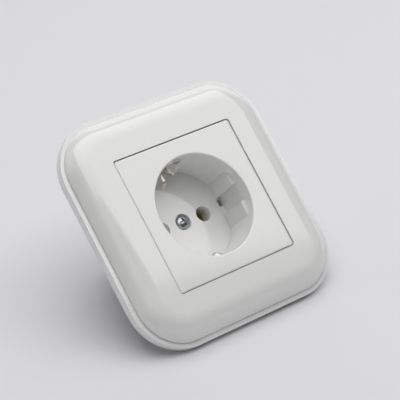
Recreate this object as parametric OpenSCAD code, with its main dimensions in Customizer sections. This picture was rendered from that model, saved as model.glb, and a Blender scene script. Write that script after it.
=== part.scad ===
// Earthed wall socket for a round flush box: a two-pin well with side earth clips,
// a domed square cover frame, and the insert with spreading claws behind it.
// Every piece is drawn facing up: x to the right, y up the wall, z out of the wall,
// with the wall's surface at z = 0. The last lines turn the whole part to face -Y.

/* [Cover frame] */
// Overall width and height of the frame, over its rim
frame_w = 89; // [84:0.5:95]
// How far the rim's corner centres lie inside the opening's edge
rim_corner_in = 1.8; // [0.2:0.1:4]
// Height of the rim above the wall
rim_h = 3.4; // [2.4:0.1:4]
// Step from the rim's edge in to the domed body
rim_step = 1.85; // [1.2:0.05:2.6]
// How far the domed body's corner centres lie inside the opening's edge
body_corner_in = 1.05; // [0.2:0.05:3]
// Height of the shadow groove between rim and body
groove_h = 0.45; // [0.3:0.05:0.8]
// Depth of the shadow groove
groove_d = 0.8; // [0.4:0.1:1.2]
// How far the frame stands proud of the centre plate
frame_crown = 0.15; // [0:0.05:0.4]
// Width of the flat band round the opening, before the front curves down
flat_band = 7.5; // [4:0.5:10]
// Wall thickness of the frame's moulding
frame_t = 2; // [1.4:0.1:2.4]
// Width of the ledge inside the opening that the centre plate sits on
ledge_w = 1.7; // [1:0.1:2]
// Thickness of that ledge
ledge_t = 1.8; // [1.2:0.1:2]
// Thickness of the ribs under the frame
frame_rib_t = 1.2; // [0.8:0.1:2]
// Distance of those ribs from the middle of each side
frame_rib_pos = 17; // [12:0.5:22]

/* [Centre plate] */
// Height of the plate's face above the wall
plate_h = 9.2; // [8.5:0.1:11]
// Width and height of the plate
plate_w = 52.3; // [50:0.1:54]
// Thickness of the plate at its edge
plate_t = 2.4; // [1.8:0.1:2.6]
// Gap between plate and frame
plate_gap = 0.35; // [0.2:0.05:0.6]
// Radius of the plate's corners
plate_corner_r = 1; // [0.7:0.1:3]
// Rounding of the plate's front edge
plate_edge_r = 0.5; // [0.2:0.1:0.6]
// Diameter of the well
well_d = 39; // [38:0.1:40]
// Depth of the well below the plate's face
well_depth = 18.4; // [16:0.1:20]
// Rounding of the well's mouth
mouth_r = 0.5; // [0.2:0.1:0.8]
// Wall thickness of the well
well_t = 1.7; // [1.3:0.1:1.9]
// Thickness of the well's floor
floor_t = 2; // [1.6:0.1:2.6]
// Distance between the two pin holes
pin_pitch = 19; // [18.5:0.1:19.5]
// Diameter of a pin hole
pin_hole_d = 6; // [5.2:0.1:6.4]
// Length of a pin hole, from the well's floor to the end of its collar
pin_hole_l = 6; // [5:0.1:7]
// Wall thickness of a pin hole's collar
collar_t = 1.3; // [0.9:0.1:1.6]
// Distance between the guide ribs at the left and right of the well
guide_gap = 34.4; // [33.5:0.1:35.5]
// Width of the groove between the two ribs of a side
guide_groove = 6.8; // [5:0.1:9]
// Depth at which the guide ribs start
guide_start = 4.3; // [2:0.1:8]
// Height of the latch window at the foot of each groove
latch_h = 2.6; // [1.6:0.1:3]
// Width of the latch window
latch_w = 1.8; // [1.2:0.1:2]

/* [Earth clips] */
// Thickness of the earth strap's sheet
strap_t = 0.8; // [0.6:0.05:1]
// Width of the strap behind the well's floor
strap_w = 8; // [6:0.2:8.4]
// Right edge of a clip's wide tongue, from the middle
tongue_right = 2.6; // [2:0.1:3.4]
// Width of a clip's wide tongue
tongue_w = 4.7; // [3.6:0.1:5]
// Width of the narrow finger beside it
finger_w = 2.3; // [1.6:0.1:2.6]
// Slot between tongue and finger
clip_slot = 0.7; // [0.5:0.1:1]
// Reach of the tongue's crown from the well's axis
tongue_reach = 16.4; // [15.8:0.1:17]
// Depth of the tongue's crown below the plate's face
tongue_depth = 9.8; // [8:0.1:11]
// Reach of the finger's tip from the well's axis
finger_reach = 13.2; // [12.5:0.1:14.5]
// Depth of the finger below the plate's face
finger_depth = 11.1; // [10:0.1:12.5]
// Space left round a clip in its window
clip_room = 1.1; // [0.7:0.1:1.6]

/* [Support ring] */
// How far the frame reaches past the support ring at each side
ring_margin = 9; // [8:0.1:10.5]
// How far the frame's width reaches past the ring's cut corners at each end
ring_corner_margin = 2.5; // [0.5:0.1:4.5]
// Thickness of the ring's sheet
ring_t = 1; // [0.8:0.1:1.4]
// Distance between the two box screws of a pair
box_pitch = 60; // [60:0.1:61]
// Width of a box screw's slot
box_slot_w = 3.6; // [3.2:0.1:4]
// Length of a box screw's slot
box_slot_l = 5.2; // [4.4:0.1:5.4]
// Distance of the rivets from the middle
rivet_pos = 23.5; // [23.3:0.1:23.8]
// Diameter of a rivet
rivet_d = 2.4; // [2:0.1:2.6]
// Length of a rivet's shank in the base
rivet_l = 6; // [4:0.5:8]

/* [Base] */
// Thickness of the base's columns round the well
column_t = 4; // [3.6:0.1:4.4]
// Angle that one column covers
column_angle = 38; // [30:1:42]
// Thickness of the base's front flange
flange_t = 2; // [1.6:0.1:2.4]
// Thickness of the deck behind the well
deck_t = 3.2; // [2.8:0.1:4]
// Width of the contact housing
housing_w = 40; // [38:0.5:40]
// Height of the contact housing
housing_h = 24; // [22:0.5:24]
// Depth of the contact housing behind the deck
housing_l = 13.3; // [13:0.1:15]
// Thickness of the rear cover
back_t = 2; // [1.6:0.1:2.6]
// Corner radius of the housing and its cover
housing_r = 1.6; // [1:0.1:2.4]

/* [Contacts and terminals] */
// Inner diameter of a pin contact
contact_d = 4.6; // [4.4:0.1:4.7]
// Sheet thickness of a pin contact
contact_t = 0.7; // [0.5:0.05:0.9]
// Length of a pin contact
contact_l = 9.5; // [8:0.1:10]
// Width of a terminal block
terminal_w = 5.6; // [5:0.1:5.6]
// Height of a terminal block
terminal_h = 7.6; // [7:0.1:8]
// Length of a terminal block
terminal_l = 9.4; // [8.6:0.1:9.8]
// Distance from the middle to the middle of a live or neutral terminal
terminal_pos = 16.2; // [16:0.1:16.4]
// Diameter of a wire hole in a terminal block
wire_d = 2.2; // [1.8:0.1:2.3]
// Distance between the two wire holes of a terminal
wire_pitch = 2.8; // [2.6:0.1:2.9]
// Diameter of a wire entry in the rear cover
entry_d = 2.6; // [2.3:0.1:2.7]
// Diameter of a terminal screw's thread
terminal_screw_d = 2.6; // [2.2:0.1:2.8]

/* [Centre screw] */
// Diameter of the centre screw's thread
centre_d = 3.5; // [3:0.1:4]
// Diameter of its head
centre_head_d = 6.1; // [5.6:0.1:6.6]
// Height of its head
centre_head_h = 1.7; // [1.4:0.1:2.2]
// Depth of the recess for the head in the well's floor
centre_sink = 1; // [0.6:0.1:1.1]
// Length of its shank
centre_l = 11; // [9:0.5:13]

/* [Spreading claws] */
// Distance of a claw screw from the contact housing
claw_gap = 4.4; // [4.3:0.1:4.6]
// Diameter of a claw screw's thread
claw_screw_d = 3.4; // [3:0.1:3.6]
// Diameter of its head
claw_head_d = 5.6; // [5:0.1:5.7]
// Length of its shank
claw_screw_l = 28.5; // [27.5:0.1:29]
// Sheet thickness of a claw
claw_t = 1; // [0.8:0.05:1.2]
// Width of a claw over its flanges
claw_w = 10.4; // [9.6:0.1:10.8]
// Outer face of a claw at rest, from its screw
claw_reach = 3.6; // [3.2:0.1:3.7]
// Depth at which the claw's teeth end
claw_l = 25.8; // [25.4:0.1:26.4]
// How far the teeth lean out of the claw's outer face
tooth_out = 1.8; // [1:0.1:2.2]
// Distance of the claw's pivot from its screw, outwards
pivot_out = 0.6; // [0.2:0.1:0.8]
// Depth of the claw's pivot behind the wall's surface
pivot_depth = 3.2; // [2.9:0.1:3.6]
// Diameter of the claw's trunnions
trunnion_d = 2.4; // [2:0.1:2.6]
// Angle that the claw opens to
claw_angle = 12; // [6:1:13]
// Depth of the nut's middle at rest
nut_depth = 24; // [23.6:0.1:24.4]
// Thickness of the nut
nut_t = 3; // [2.4:0.1:3.4]
// How far the nut travels towards the wall's surface
nut_travel = 7; // [5:0.5:7.5]

/* [Hidden] */
$fn = 96;

// Overlap that lets a cut run past a face
eps = 0.5;
// Radius of the bends in the earth strap, along the middle of its sheet
strap_bend = 0.75;
// Clearance between parts that are fitted together and stay still
seat_gap = 0.1;
// Clearance of a turning fit, on the radius
run_gap = 0.05;
// Clearance round a moving piece
free_gap = 0.4;
// Clearance of the claw's ramp over the nut's ears
ramp_gap = 0.2;

white = "#f1f3f5";
base_white = "#e9eaec";
steel = "#b9bfc6";
zinc = "#c2c8d4";
brass = "#c9a85a";

// Width of a cross recess, as a share of its screw's head
recess_share = 0.62;
// Depth to which a rear cover's screw reaches into the base
back_screw_l = 5;
back_screw_d = 2;
back_screw_head_d = 3.6;
back_screw_head_h = 0.8;
// Distances of those screws from the housing's sides
back_screw_in_x = 2.6;
back_screw_in_y = 2.8;
// Wall of the threaded bush, its flange's reach and thickness, and the base left in front of it
bush_wall = 1.25;
bush_flange_out = 0.9;
bush_flange_t = 1.6;
bush_front_t = 1.6;
// Foot of a claw's flanges, from the wall's surface and from the pivot
flange_foot = 9;
flange_in = 2.4;
nose_r = 0.8;
lug_t = 1.8;

opening_half = plate_w / 2 + plate_gap;
plate_half = plate_w / 2;
plate_back = plate_h - plate_t;
body_half = frame_w / 2 - rim_step;
body_c = opening_half - body_corner_in;
body_r = body_half - body_c;
rim_c = opening_half - rim_corner_in;
rim_r = frame_w / 2 - rim_c;
ring_w = frame_w - 2 * ring_margin;
ring_corner_d = frame_w - 2 * ring_corner_margin;
frame_top = plate_h + frame_crown;
body_foot = rim_h + groove_h;
dome_start = opening_half + flat_band;
dome_run = body_half - dome_start;
dome_drop = frame_top - body_foot;
dome_r = (dome_run * dome_run + dome_drop * dome_drop) / (2 * dome_drop);
dome_c = frame_top - dome_r;
inner_wall = body_half - frame_t;
lip_wall = opening_half + 1.6;

well_r = well_d / 2;
pot_r = well_r + well_t;
floor_z = plate_h - well_depth;
floor_back = floor_z - floor_t;
pin_x = pin_pitch / 2;
collar_r = pin_hole_d / 2 + collar_t;
collar_back = floor_z - pin_hole_l;

strap_back = floor_back - strap_t;
strap_mid = floor_back - strap_t / 2;
riser_y = pot_r + 0.4 + strap_t / 2;
finger_right = tongue_right - tongue_w - clip_slot;
clip_left = finger_right - finger_w;
window_top = plate_h - tongue_depth + 3.4;
window_foot = plate_h - tongue_depth - 6.4;

ring_hole_r = pot_r + 0.8;
base_in = pot_r + 0.3;
base_out = base_in + column_t;
deck_front = strap_back;
deck_back = deck_front - deck_t;
housing_back = deck_back - housing_l;
housing_x = housing_w / 2;
housing_y = housing_h / 2;
contact_front = collar_back - 0.8;
contact_back = contact_front - contact_l;
contact_r = contact_d / 2 + contact_t;
terminal_front = deck_back - 2.6;
terminal_back = terminal_front - terminal_l;
terminal_z = (terminal_front + terminal_back) / 2;
terminal_top = 4.2;
terminal_foot = terminal_top - terminal_h;
wire_y = terminal_foot + 2.5;
terminal_in = terminal_pos - terminal_w / 2;
earth_w = 7.6;
earth_h = 4.2;
earth_foot = 5.3;
earth_top = earth_foot + earth_h;
earth_wire_y = earth_foot + 1.7;
head_seat = floor_z - centre_sink;
bush_front = deck_front - bush_front_t;
bush_back = head_seat - centre_l - free_gap;
bush_r = centre_d / 2 + bush_wall;
bush_flange_r = bush_r + bush_flange_out;
back_screw_x = housing_x - back_screw_in_x;
back_screw_y = housing_y - back_screw_in_y;

// A claw screw clears both the contact housing and the outside of the well
claw_pos = max(housing_x + claw_gap, pot_r + claw_head_d / 2 + free_gap);
pivot_pos = claw_pos + pivot_out;
claw_out = claw_pos + claw_reach;
ear_x = claw_pos - 1.5;
nut_half_w = claw_w / 2 - claw_t - 0.3;
ear_half_w = claw_w / 2 + 0.1;
nut_in = claw_pos - 2.5;
nut_out = claw_out - claw_t - 0.5;
lug_in = claw_w / 2 + 0.35;
claw_room = lug_in + 0.4;

// Direction and joining of points, for strips of sheet
function unit(v) = v / norm(v);
function side_of(a, b) = let (d = unit(b - a)) [-d[1], d[0]];
function mitre(p, i) =
    let (n = len(p), j = max(i - 1, 0), k = min(i, n - 2),
         a = side_of(p[j], p[j + 1]), b = side_of(p[k], p[k + 1]), m = unit(a + b))
    m / (m * a);
// Outline of a strip of thickness t along the points p
function strip(p, t) =
    concat([for (i = [0 : len(p) - 1]) p[i] + mitre(p, i) * t / 2],
           [for (i = [len(p) - 1 : -1 : 0]) p[i] - mitre(p, i) * t / 2]);
// Points of a bend of radius r at b, on the way from a to c
function bend(a, b, c, r, steps = 5) =
    let (u = unit(a - b), v = unit(c - b), half = acos(u * v) / 2,
         mid = b + unit(u + v) * r / sin(half), s = b + u * r / tan(half) - mid,
         start = atan2(s[1], s[0]), turn = (cross(u, v) > 0 ? -1 : 1) * (180 - 2 * half))
    [for (i = [0 : steps]) mid + r * [cos(start + turn * i / steps), sin(start + turn * i / steps)]];
function bent_path(p, r) =
    concat([p[0]], [for (i = [1 : len(p) - 2]) each bend(p[i - 1], p[i], p[i + 1], r)], [p[len(p) - 1]]);
// A point turned about c by a, anticlockwise
function turned(p, c, a) =
    let (d = p - c) c + [d[0] * cos(a) - d[1] * sin(a), d[0] * sin(a) + d[1] * cos(a)];

// Turns a piece that is drawn facing up so that it faces -Y
module on_wall() rotate([90, 0, 0]) children();

module mirrored_x() {
    children();
    mirror([1, 0, 0]) children();
}

module mirrored_y() {
    children();
    mirror([0, 1, 0]) children();
}

module quadrants() mirrored_x() mirrored_y() children();

module box(low, high) translate(low) cube(high - low);

// A section, drawn from the corners' centres outwards, led round a square with round corners
module round_square(half, r) {
    c = half - r;
    for (a = [0 : 90 : 270])
        rotate(a)
            translate([c, c, 0]) {
                rotate_extrude(angle = 90) children();
                rotate([90, 0, 0]) linear_extrude(2 * c) children();
            }
}

// A prism with round corners
module round_prism(w, h, r, low, high) {
    translate([0, 0, low])
        linear_extrude(high - low)
            difference() {
                square([w, h], center = true);
                quadrants()
                    translate([w / 2 - r, h / 2 - r])
                        difference() {
                            square(r + eps);
                            circle(r);
                        }
            }
}

// A shape drawn in x and z, with its thickness along y from low to high
module across_y(low, high) translate([0, high, 0]) rotate([90, 0, 0]) linear_extrude(high - low) children();

// A shape drawn in y and z, with its thickness along x from low to high
module across_x(low, high)
    translate([low, 0, 0]) rotate([90, 0, 90]) linear_extrude(high - low) children();

module cross_recess(w, t, depth) {
    for (a = [0, 90])
        rotate(a) translate([-w / 2, -t / 2, -depth]) cube([w, t, depth + eps]);
}

// The frame's section, at its true distance from the middle
module frame_outline() {
    translate([opening_half, 0]) square([dome_start - opening_half, frame_top]);
    intersection() {
        translate([dome_start, dome_c]) circle(dome_r);
        translate([dome_start, body_foot]) square([dome_run, dome_drop]);
    }
    translate([opening_half, 0]) square([body_half - groove_d - opening_half, body_foot]);
}

module frame_hollow() {
    intersection() {
        union() {
            translate([lip_wall, -eps]) square([dome_start - lip_wall, frame_top - frame_t + eps]);
            translate([dome_start, dome_c]) circle(dome_r - frame_t);
            translate([dome_start, -eps]) square([dome_run, max(dome_c, 0) + 2 * eps]);
        }
        translate([lip_wall, -eps]) square([inner_wall - lip_wall, frame_top]);
    }
    // The lip round the opening ends level with its ledge
    translate([opening_half - eps, -eps]) square([lip_wall - opening_half + 2 * eps, plate_back - ledge_t + eps]);
}

module cover_frame() {
    color(white) {
        difference() {
            union() {
                round_square(body_half, body_r)
                    translate([-body_c, 0])
                        difference() {
                            frame_outline();
                            frame_hollow();
                        }
                round_square(frame_w / 2, rim_r)
                    translate([inner_wall - rim_c, 0]) square([frame_w / 2 - inner_wall, rim_h]);
            }
            // Shadow groove above the rim
            round_square(body_half, body_r)
                translate([body_r - groove_d, rim_h]) square([groove_d + rim_step + eps, groove_h]);
        }
        // Ledge that the centre plate sits on
        difference() {
            round_prism(2 * lip_wall - 0.4, 2 * lip_wall - 0.4, plate_corner_r,
                        plate_back - ledge_t, plate_back);
            box([-(opening_half - ledge_w), -(opening_half - ledge_w), plate_back - ledge_t - eps],
                [opening_half - ledge_w, opening_half - ledge_w, plate_back + eps]);
        }
        // Ribs that rest on the support ring and centre the frame round it
        for (a = [0 : 90 : 270], s = [-1, 1])
            rotate(a)
                across_y(s * frame_rib_pos - frame_rib_t / 2, s * frame_rib_pos + frame_rib_t / 2)
                    intersection() {
                        frame_hollow();
                        union() {
                            translate([lip_wall, ring_t]) square([body_half - lip_wall, frame_top]);
                            translate([ring_w / 2 + 0.3, 0]) square([body_half - ring_w / 2, frame_top]);
                        }
                    }
    }
}

// What a clip needs to pass through the well's wall
module clip_window(grow = 0) {
    box([clip_left - clip_room / 2 - grow, 0, window_foot - grow],
        [tongue_right + clip_room + grow, pot_r + 3, window_top + grow]);
}

module centre_plate() {
    edge_c = plate_half - plate_corner_r;
    color(white)
        difference() {
            union() {
                // Plate with a rounded front edge
                box([-edge_c, -edge_c, plate_back], [edge_c, edge_c, plate_h]);
                round_square(plate_half, plate_corner_r) {
                    translate([0, plate_back]) square([plate_corner_r, plate_t - plate_edge_r]);
                    translate([0, plate_back]) square([plate_corner_r - plate_edge_r, plate_t]);
                    intersection() {
                        translate([plate_corner_r - plate_edge_r, plate_h - plate_edge_r]) circle(plate_edge_r);
                        translate([0, plate_back]) square([plate_corner_r, plate_t]);
                    }
                }
                // Outside of the well
                translate([0, 0, floor_back]) cylinder(r = pot_r, h = plate_back - floor_back + 0.2);
                // Webs that stand on the support ring
                for (a = [30, 60], q = [0 : 90 : 270])
                    rotate(a + q)
                        box([pot_r - 0.6, -0.6, ring_t], [pot_r + 5, 0.6, plate_back + 0.2]);
                // Collars behind the pin holes
                mirrored_x()
                    translate([pin_x, 0, collar_back]) cylinder(r = collar_r, h = floor_z - collar_back - 0.5);
            }
            well_space();
            mirrored_x()
                translate([pin_x, 0, collar_back - eps]) cylinder(d = pin_hole_d, h = pin_hole_l + 2 * eps);
            mirrored_y() clip_window();
            // Centre screw: clearance hole and recess for its head
            translate([0, 0, floor_back - eps]) cylinder(d = centre_d + 0.5, h = floor_t + 2 * eps);
            translate([0, 0, head_seat]) cylinder(d = centre_head_d + 0.4, h = centre_sink + eps);
            // Latch windows at the foot of the grooves, opposite ways round at left and right
            for (a = [0, 180])
                rotate(a)
                    box([well_r - 0.2 - latch_w, 0, floor_back - eps], [well_r - 0.2, latch_h, floor_z + eps]);
        }
}

// The well itself, less its guide ribs
module well_space() {
    difference() {
        rotate_extrude() {
            translate([0, floor_z]) square([well_r, well_depth + eps]);
            difference() {
                translate([0, plate_h - mouth_r]) square([well_r + mouth_r, mouth_r + eps]);
                translate([well_r + mouth_r, plate_h - mouth_r]) circle(mouth_r);
            }
        }
        quadrants()
            box([guide_gap / 2, guide_groove / 2, floor_z - eps],
                [well_r + 2, well_r, plate_h - guide_start]);
    }
}

module centre_screw() {
    // The head is a dome cut flat by its seat
    rise = centre_head_h;
    half = centre_head_d / 2;
    dome = (half * half + rise * rise) / (2 * rise);
    color(zinc)
        difference() {
            union() {
                intersection() {
                    translate([0, 0, head_seat + rise - dome]) sphere(dome);
                    translate([0, 0, head_seat]) cylinder(r = half + 1, h = rise + 1);
                }
                translate([0, 0, head_seat - centre_l]) cylinder(d = centre_d, h = centre_l + 0.2);
            }
            translate([0, 0, head_seat + rise]) cross_recess(centre_head_d * recess_share, 0.8, 1);
        }
}

module slot(l, w, low, high) {
    translate([0, 0, low])
        linear_extrude(high - low) {
            square([l - w, w], center = true);
            for (s = [-1, 1]) translate([s * (l - w) / 2, 0]) circle(d = w);
        }
}

module support_ring() {
    color(steel)
        difference() {
            intersection() {
                box([-ring_w / 2, -ring_w / 2, 0], [ring_w / 2, ring_w / 2, ring_t]);
                cylinder(d = ring_corner_d, h = ring_t);
            }
            translate([0, 0, -eps]) cylinder(r = ring_hole_r, h = ring_t + 2 * eps);
            // Box screw slots, one at each side
            for (a = [0 : 90 : 270])
                rotate(a) translate([box_pitch / 2, 0, 0]) slot(box_slot_l, box_slot_w, -eps, ring_t + eps);
            mirrored_x()
                translate([claw_pos, 0, -eps]) cylinder(d = claw_screw_d + 0.8, h = ring_t + 2 * eps);
            for (a = [45 : 90 : 315])
                rotate(a) translate([rivet_pos, 0, -eps]) cylinder(d = rivet_d + 0.2, h = ring_t + 2 * eps);
            // Notches for the earth clips
            mirrored_y()
                box([clip_left - free_gap, 0, -eps],
                    [tongue_right + free_gap, riser_y + strap_t / 2 + free_gap, ring_t + eps]);
        }
}

module ring_rivets() {
    color(zinc)
        for (a = [45 : 90 : 315])
            rotate(a)
                translate([rivet_pos, 0, 0]) {
                    translate([0, 0, -rivet_l]) cylinder(d = rivet_d, h = rivet_l + ring_t);
                    translate([0, 0, ring_t]) cylinder(d = 1.8 * rivet_d, h = 0.7);
                }
}

module socket_base() {
    color(base_white)
        difference() {
            union() {
                difference() {
                    union() {
                        translate([0, 0, -flange_t]) cylinder(r = base_out, h = flange_t);
                        intersection() {
                            translate([0, 0, deck_front]) cylinder(r = base_out, h = -deck_front);
                            for (a = [45 : 90 : 315])
                                rotate(a) column_wedge();
                        }
                    }
                    translate([0, 0, deck_front]) cylinder(r = base_in, h = -deck_front + eps);
                }
                translate([0, 0, deck_back]) cylinder(r = base_out, h = deck_t);
                round_prism(housing_w, housing_h, housing_r, housing_back, deck_back + 0.2);
                // Lugs that carry the claws
                quadrants()
                    box([base_in + 0.1, lug_in, -2 * pivot_depth], [pivot_pos + 2.4, lug_in + lug_t, 0]);
            }
            quadrants()
                translate([pivot_pos, 0, -pivot_depth])
                    rotate([-90, 0, 0]) cylinder(d = trunnion_d + 2 * run_gap, h = lug_in + lug_t + run_gap);
            // Room for the claws and their nuts
            mirrored_x()
                box([housing_x, -lug_in, deck_back - eps], [base_out + eps, lug_in, eps]);
            mirrored_x()
                box([housing_x, -claw_room, deck_back - eps], [base_out + eps, claw_room, -2 * pivot_depth]);
            // Room for the earth clips
            mirrored_y()
                box([clip_left - free_gap, 0, deck_front],
                    [tongue_right + free_gap, base_out + eps, eps]);
            for (a = [45 : 90 : 315])
                rotate(a)
                    translate([rivet_pos, 0, -rivet_l - 0.2]) cylinder(d = rivet_d + 0.1, h = rivet_l + eps);
            // Seats for the pin holes' collars and the contacts behind them
            mirrored_x() {
                translate([pin_x, 0, deck_back - eps]) cylinder(r = collar_r + 0.3, h = deck_t + 2 * eps);
                translate([pin_x, 0, housing_back - eps])
                    cylinder(r = contact_r + 0.3, h = deck_back - housing_back + 2 * eps);
                // Terminal chamber, and the way of the contact's tail into it
                box([terminal_in - seat_gap, terminal_foot - seat_gap, housing_back - eps],
                    [terminal_pos + terminal_w / 2 + seat_gap, terminal_top + seat_gap, terminal_front + seat_gap]);
                box([pin_x, -1.6, housing_back - eps], [terminal_pos, 1.6, contact_back + 2.2]);
                translate([terminal_pos, 0, terminal_z])
                    rotate([-90, 0, 0]) cylinder(d = terminal_screw_d + 2, h = housing_y + eps);
                for (s = [-1, 1])
                    translate([back_screw_x, s * back_screw_y, housing_back - eps])
                        cylinder(d = back_screw_d + seat_gap, h = back_screw_l + 1 + eps);
            }
            // Earth terminal chamber and the way of the strap's tab
            box([-earth_w / 2 - seat_gap, earth_foot - seat_gap, housing_back - eps],
                [earth_w / 2 + seat_gap, earth_top + strap_t + seat_gap, terminal_front + seat_gap]);
            box([-2.6 - seat_gap, earth_top - seat_gap, terminal_front - eps],
                [2.6 + seat_gap, earth_top + strap_t + seat_gap, deck_front + eps]);
            translate([0, earth_top, terminal_z])
                rotate([-90, 0, 0]) cylinder(d = terminal_screw_d + 2, h = housing_y - earth_top + eps);
            // Seat of the threaded bush
            translate([0, 0, bush_back - eps]) cylinder(r = bush_r + 0.02, h = bush_front - bush_back + eps);
            translate([0, 0, housing_back - eps])
                cylinder(r = bush_flange_r + seat_gap, h = bush_back + bush_flange_t - housing_back + eps);
            translate([0, 0, bush_front - eps]) cylinder(d = centre_d + 0.5, h = deck_front - bush_front + 2 * eps);
        }
}

// A wedge that covers one column's angle
module column_wedge() {
    reach = 2 * base_out;
    half = column_angle / 2;
    translate([0, 0, deck_front])
        linear_extrude(-deck_front)
            polygon([[0, 0], [reach * cos(half), -reach * sin(half)], [reach * cos(half), reach * sin(half)]]);
}

// Calls its child at each wire's place behind the live or neutral terminal
module at_wires() {
    for (s = [-1, 1]) translate([terminal_pos + s * wire_pitch / 2, wire_y, 0]) children();
}

module at_earth_wires() {
    for (s = [-1, 1]) translate([s * wire_pitch * 0.68, earth_wire_y, 0]) children();
}

module base_back() {
    low = housing_back - back_t;
    color(base_white)
        difference() {
            round_prism(housing_w, housing_h, housing_r, low, housing_back);
            mirrored_x() at_wires() translate([0, 0, low - eps]) cylinder(d = entry_d, h = back_t + 2 * eps);
            at_earth_wires() translate([0, 0, low - eps]) cylinder(d = entry_d, h = back_t + 2 * eps);
            quadrants()
                translate([back_screw_x, back_screw_y, low - eps])
                    cylinder(d = back_screw_d + 0.2, h = back_t + 2 * eps);
        }
}

module back_screws() {
    low = housing_back - back_t;
    color(zinc)
        quadrants()
            translate([back_screw_x, back_screw_y, 0]) {
                translate([0, 0, low]) cylinder(d = back_screw_d, h = back_t + back_screw_l);
                difference() {
                    translate([0, 0, low - back_screw_head_h]) cylinder(d = back_screw_head_d, h = back_screw_head_h);
                    translate([0, 0, low - back_screw_head_h])
                        mirror([0, 0, 1]) cross_recess(back_screw_head_d * recess_share, 0.5, 0.5);
                }
            }
}

module screw_bush() {
    color(brass)
        difference() {
            union() {
                translate([0, 0, bush_back]) cylinder(r = bush_r, h = bush_front - bush_back);
                translate([0, 0, bush_back]) cylinder(r = bush_flange_r, h = bush_flange_t);
            }
            translate([0, 0, bush_back - eps])
                cylinder(d = centre_d + 0.04, h = bush_front - bush_back + 2 * eps);
        }
}

// The path of a clip's sheet from behind the well up to its free end, drawn in y and z
function tongue_path() =
    bent_path([[strap_w / 2, strap_mid], [riser_y, strap_mid],
               [riser_y, plate_h - tongue_depth + 2.7],
               [tongue_reach + strap_t / 2 - 0.1, plate_h - tongue_depth],
               [tongue_reach + 2.6, plate_h - tongue_depth - 5.2]], strap_bend);
function finger_path() =
    bent_path([[strap_w / 2, strap_mid], [riser_y, strap_mid], [riser_y, plate_h - finger_depth + 0.2],
               [finger_reach + 1.5, plate_h - finger_depth - 0.1],
               [finger_reach + strap_t / 2, plate_h - finger_depth - 2.9]], strap_bend);

module clip() {
    across_x(tongue_right - tongue_w, tongue_right) polygon(strip(tongue_path(), strap_t));
    across_x(clip_left, finger_right) polygon(strip(finger_path(), strap_t));
    // The two share one riser up to the wall's surface
    box([clip_left, riser_y - strap_t / 2, strap_mid + strap_bend],
        [tongue_right, riser_y + strap_t / 2, plate_h - finger_depth - 1.2]);
    box([clip_left, strap_w / 2, strap_back], [tongue_right, riser_y - strap_bend, floor_back]);
}

// Round end of the tongue and of the finger, as seen from the front
module clip_outline() {
    corner = 1.5;
    translate([0, 0, strap_back - 1])
        linear_extrude(plate_h - strap_back) {
            translate([clip_left - corner, tongue_reach + corner])
                square([tongue_right - clip_left + 2 * corner, pot_r]);
            translate([tongue_right - tongue_w + corner, tongue_reach - 0.2])
                square([tongue_w - 2 * corner, corner + 1]);
            for (x = [tongue_right - tongue_w + corner, tongue_right - corner])
                translate([x, tongue_reach + corner - 0.2]) circle(corner);
            translate([clip_left, finger_reach + finger_w / 2]) square([finger_w, 6]);
            translate([clip_left + finger_w / 2, finger_reach + finger_w / 2]) circle(d = finger_w);
        }
}

module earth_strap() {
    color(steel)
        difference() {
            union() {
                mirrored_y()
                    intersection() {
                        clip();
                        union() {
                            clip_outline();
                            box([-strap_w, 0, strap_back - 1], [strap_w, riser_y, floor_back + 0.01]);
                        }
                    }
                box([-strap_w / 2, -tongue_reach, strap_back], [strap_w / 2, tongue_reach, floor_back]);
                // Tab to the earth terminal
                box([-2.6, earth_top, terminal_back + 0.6], [2.6, earth_top + strap_t, strap_back + 0.1]);
            }
            translate([0, 0, strap_back - eps]) cylinder(d = centre_d + 0.6, h = strap_t + 2 * eps);
            translate([0, earth_top - eps, terminal_z])
                rotate([-90, 0, 0]) cylinder(d = terminal_screw_d + 0.2, h = strap_t + 2 * eps);
        }
}

module earth_terminal() {
    color(brass)
        difference() {
            box([-earth_w / 2, earth_foot, terminal_back], [earth_w / 2, earth_top, terminal_front]);
            at_earth_wires() translate([0, 0, terminal_back - eps]) cylinder(d = wire_d, h = terminal_l + 2 * eps);
            translate([0, earth_foot + 2, terminal_z])
                rotate([-90, 0, 0]) cylinder(d = terminal_screw_d + 0.04, h = earth_h);
        }
}

// A terminal screw whose head stands on a face at y = seat, with its shank down to y = foot
module terminal_screw(x, seat, foot) {
    color(zinc)
        translate([x, 0, terminal_z])
            rotate([-90, 0, 0])
                difference() {
                    union() {
                        translate([0, 0, foot]) cylinder(d = terminal_screw_d, h = seat - foot + 0.1);
                        translate([0, 0, seat]) cylinder(d = terminal_screw_d + 1.8, h = 1.6);
                    }
                    translate([0, 0, seat + 1.6]) cross_recess(2.8, 0.7, 0.8);
                }
}

module earth_terminal_screw() terminal_screw(0, earth_top + strap_t, earth_foot + 2.2);

module pin_contact() {
    color(brass) {
        difference() {
            translate([pin_x, 0, contact_back]) cylinder(r = contact_r, h = contact_l);
            translate([pin_x, 0, contact_back - eps]) cylinder(d = contact_d, h = contact_l + 2 * eps);
            // Slits that make the spring leaves
            for (a = [45, 135])
                translate([pin_x, 0, contact_back + 2.6])
                    rotate(a) translate([-contact_r - 1, -0.35, 0]) cube([2 * contact_r + 2, 0.7, contact_l]);
        }
        // Tail to the terminal block
        box([pin_x + contact_d / 2 + contact_t / 2, -1.4, contact_back], [terminal_in, 1.4, contact_back + contact_t]);
    }
}

module pin_terminal() {
    color(brass)
        difference() {
            box([terminal_in, terminal_foot, terminal_back],
                [terminal_pos + terminal_w / 2, terminal_top, terminal_front]);
            at_wires() translate([0, 0, terminal_back - eps]) cylinder(d = wire_d, h = terminal_l + 2 * eps);
            translate([terminal_pos, wire_y, terminal_z])
                rotate([-90, 0, 0]) cylinder(d = terminal_screw_d + 0.04, h = terminal_h);
        }
}

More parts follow.
